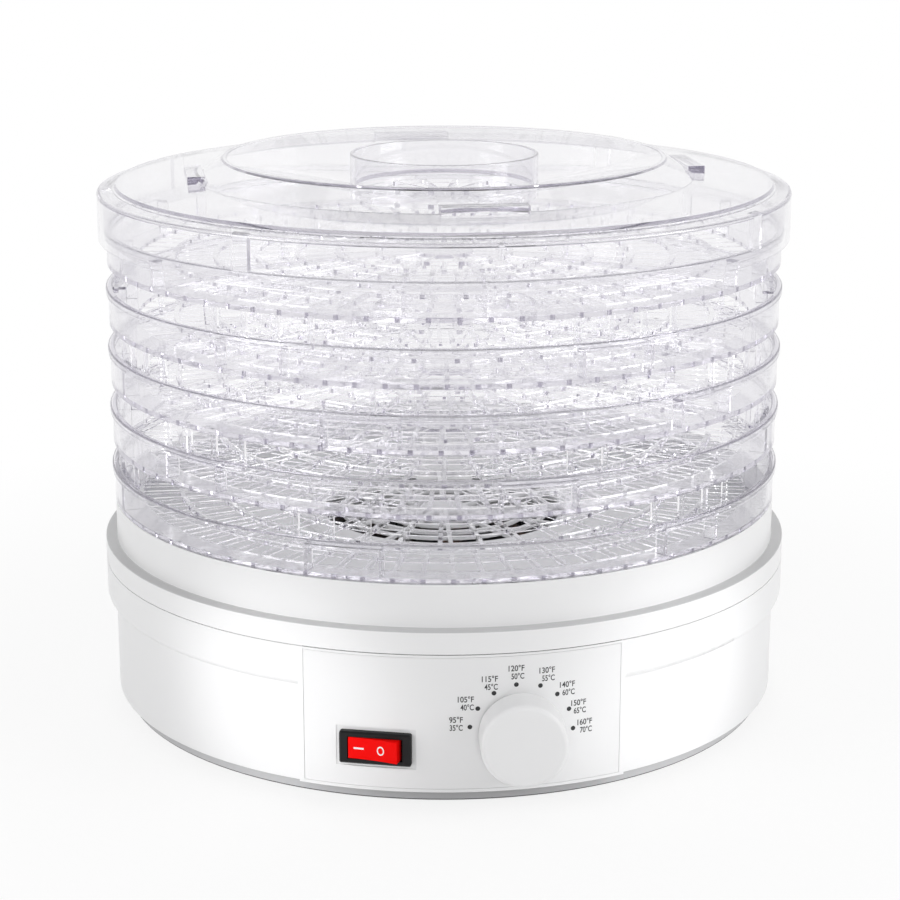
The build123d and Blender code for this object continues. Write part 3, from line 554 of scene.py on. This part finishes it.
def seen_directly(tree):
    path = tree.nodes.new("ShaderNodeLightPath")
    mirrored = calculate(tree, "MAXIMUM", path.outputs["Is Camera Ray"], path.outputs["Is Glossy Ray"])
    return calculate(tree, "MAXIMUM", mirrored, path.outputs["Is Transmission Ray"])


def hang(name, light, place, target):
    holder = bpy.data.objects.new(name, light)
    aim = (Vector(target) - Vector(place)).to_track_quat("-Z", "Y")
    holder.matrix_world = Matrix.Translation(place) @ aim.to_matrix().to_4x4()
    scene.collection.objects.link(holder)
    return holder


def softbox(name, place, target, size, power, mirrored=True):
    light = bpy.data.lights.new(name, "AREA")
    light.shape = "SQUARE"
    light.size = size
    light.energy = power
    holder = hang(name, light, place, target)
    holder.visible_glossy = mirrored
    holder.visible_transmission = mirrored


def place_around(turn, reach, height):
    angle = math.radians(turn)
    return Vector((reach * math.sin(angle), -reach * math.cos(angle), height))


def gridded_lamp(name, turn, aim_turn, cone, power):
    light = bpy.data.lights.new(name, "SPOT")
    light.spot_size = math.radians(cone)
    light.spot_blend = 1.0
    light.shadow_soft_size = gridded_lamp_radius
    light.energy = power
    place = place_around(turn, gridded_lamp_reach, gridded_lamp_height)
    target = place_around(aim_turn, panel_radius, gridded_aim_height)
    hang(name, light, place, target)


floor_mesh = bmesh.new()
bmesh.ops.create_grid(floor_mesh, x_segments=1, y_segments=1, size=floor_reach)
floor_data = bpy.data.meshes.new("studio_floor")
floor_mesh.to_mesh(floor_data)
floor_mesh.free()
floor = bpy.data.objects.new("studio_floor", floor_data)
scene.collection.objects.link(floor)
floor_finish, floor_tree, floor_bsdf = new_finish("studio_floor")
floor_bsdf.inputs["Base Color"].default_value = floor_white
floor_bsdf.inputs["Roughness"].default_value = floor_roughness
glow = floor_tree.nodes.new("ShaderNodeEmission")
glow.inputs["Strength"].default_value = 1.0
floor_place = floor_tree.nodes.new("ShaderNodeTexCoord")
from_middle = floor_tree.nodes.new("ShaderNodeVectorMath")
from_middle.operation = "LENGTH"
fade = floor_tree.nodes.new("ShaderNodeMapRange")
fade.inputs["From Min"].default_value = shadow_reach
fade.inputs["From Max"].default_value = white_reach
fade.inputs["To Min"].default_value = floor_glow
fade.inputs["To Max"].default_value = 1.0
contact = floor_tree.nodes.new("ShaderNodeMapRange")
contact.interpolation_type = "SMOOTHSTEP"
contact.inputs["From Min"].default_value = contact_start
contact.inputs["From Max"].default_value = contact_end
floor_tree.links.new(floor_place.outputs["Object"], from_middle.inputs[0])
floor_tree.links.new(from_middle.outputs["Value"], fade.inputs["Value"])
floor_tree.links.new(from_middle.outputs["Value"], contact.inputs["Value"])
open_floor = calculate(floor_tree, "MULTIPLY", fade.outputs["Result"], contact.outputs["Result"])
glow_share = calculate(floor_tree, "MULTIPLY", seen_directly(floor_tree), open_floor)
floor_mix = floor_tree.nodes.new("ShaderNodeMixShader")
floor_tree.links.new(glow_share, floor_mix.inputs["Fac"])
floor_tree.links.new(floor_bsdf.outputs["BSDF"], floor_mix.inputs[1])
floor_tree.links.new(glow.outputs["Emission"], floor_mix.inputs[2])
floor_tree.links.new(floor_mix.outputs["Shader"], floor_tree.nodes["Material Output"].inputs["Surface"])
floor_data.materials.append(floor_finish)

world = bpy.data.worlds.new("studio_surround")
scene.world = world
world.use_nodes = True
world_tree = world.node_tree
surround = world_tree.nodes["Background"]
surround.inputs["Color"].default_value = surround_white
direction = world_tree.nodes.new("ShaderNodeTexCoord")
direction_parts = world_tree.nodes.new("ShaderNodeSeparateXYZ")
ceiling = world_tree.nodes.new("ShaderNodeMapRange")
ceiling.interpolation_type = "SMOOTHSTEP"
ceiling.inputs["From Min"].default_value = ceiling_start
ceiling.inputs["From Max"].default_value = ceiling_end
ceiling.inputs["To Min"].default_value = 1.0
ceiling.inputs["To Max"].default_value = ceiling_grey
level = world_tree.nodes.new("ShaderNodeMapRange")
level.inputs["To Min"].default_value = surround_light
world_tree.links.new(direction.outputs["Generated"], direction_parts.inputs["Vector"])
world_tree.links.new(direction_parts.outputs["Z"], ceiling.inputs["Value"])
world_tree.links.new(ceiling.outputs["Result"], level.inputs["To Max"])
world_tree.links.new(seen_directly(world_tree), level.inputs["Value"])
world_tree.links.new(level.outputs["Result"], surround.inputs["Strength"])

softbox("left_softbox", (-1.6, -0.75, 0.75), base_left, side_lamp_size, left_lamp_power)
softbox("right_softbox", (1.6, -0.65, 0.8), base_right, side_lamp_size, right_lamp_power)
softbox("front_softbox", (-0.1, -2.4, 0.9), base_top, front_lamp_size, front_lamp_power, mirrored=False)
softbox("back_softbox", (0.1, 2.4, 0.9), base_top, front_lamp_size, back_lamp_power, mirrored=False)
softbox("top_softbox", (0.0, 0.2, 2.2), base_top, top_lamp_size, top_lamp_power)
gridded_lamp("left_gridded_lamp", turn=-38.0, aim_turn=-30.0, cone=6.5, power=left_gridded_power)
gridded_lamp("right_gridded_lamp", turn=44.0, aim_turn=36.0, cone=7.0, power=right_gridded_power)

# Camera: the photograph's own viewpoint, a long lens a little above the lid, turned a few degrees
# to the object's front.
view_lens = 93.5
view_sensor = 36.0
view_place = (-0.0583, -1.1125, 0.423)
view_pitch = 15.24
view_yaw = -3.145
camera_data = bpy.data.cameras.new("camera")
camera_data.lens = view_lens
camera_data.sensor_width = view_sensor
camera = bpy.data.objects.new("camera", camera_data)
camera.location = view_place
camera.rotation_euler = (math.radians(90.0 - view_pitch), 0.0, math.radians(view_yaw))
scene.collection.objects.link(camera)
scene.camera = camera
scene.view_settings.view_transform = "Standard"
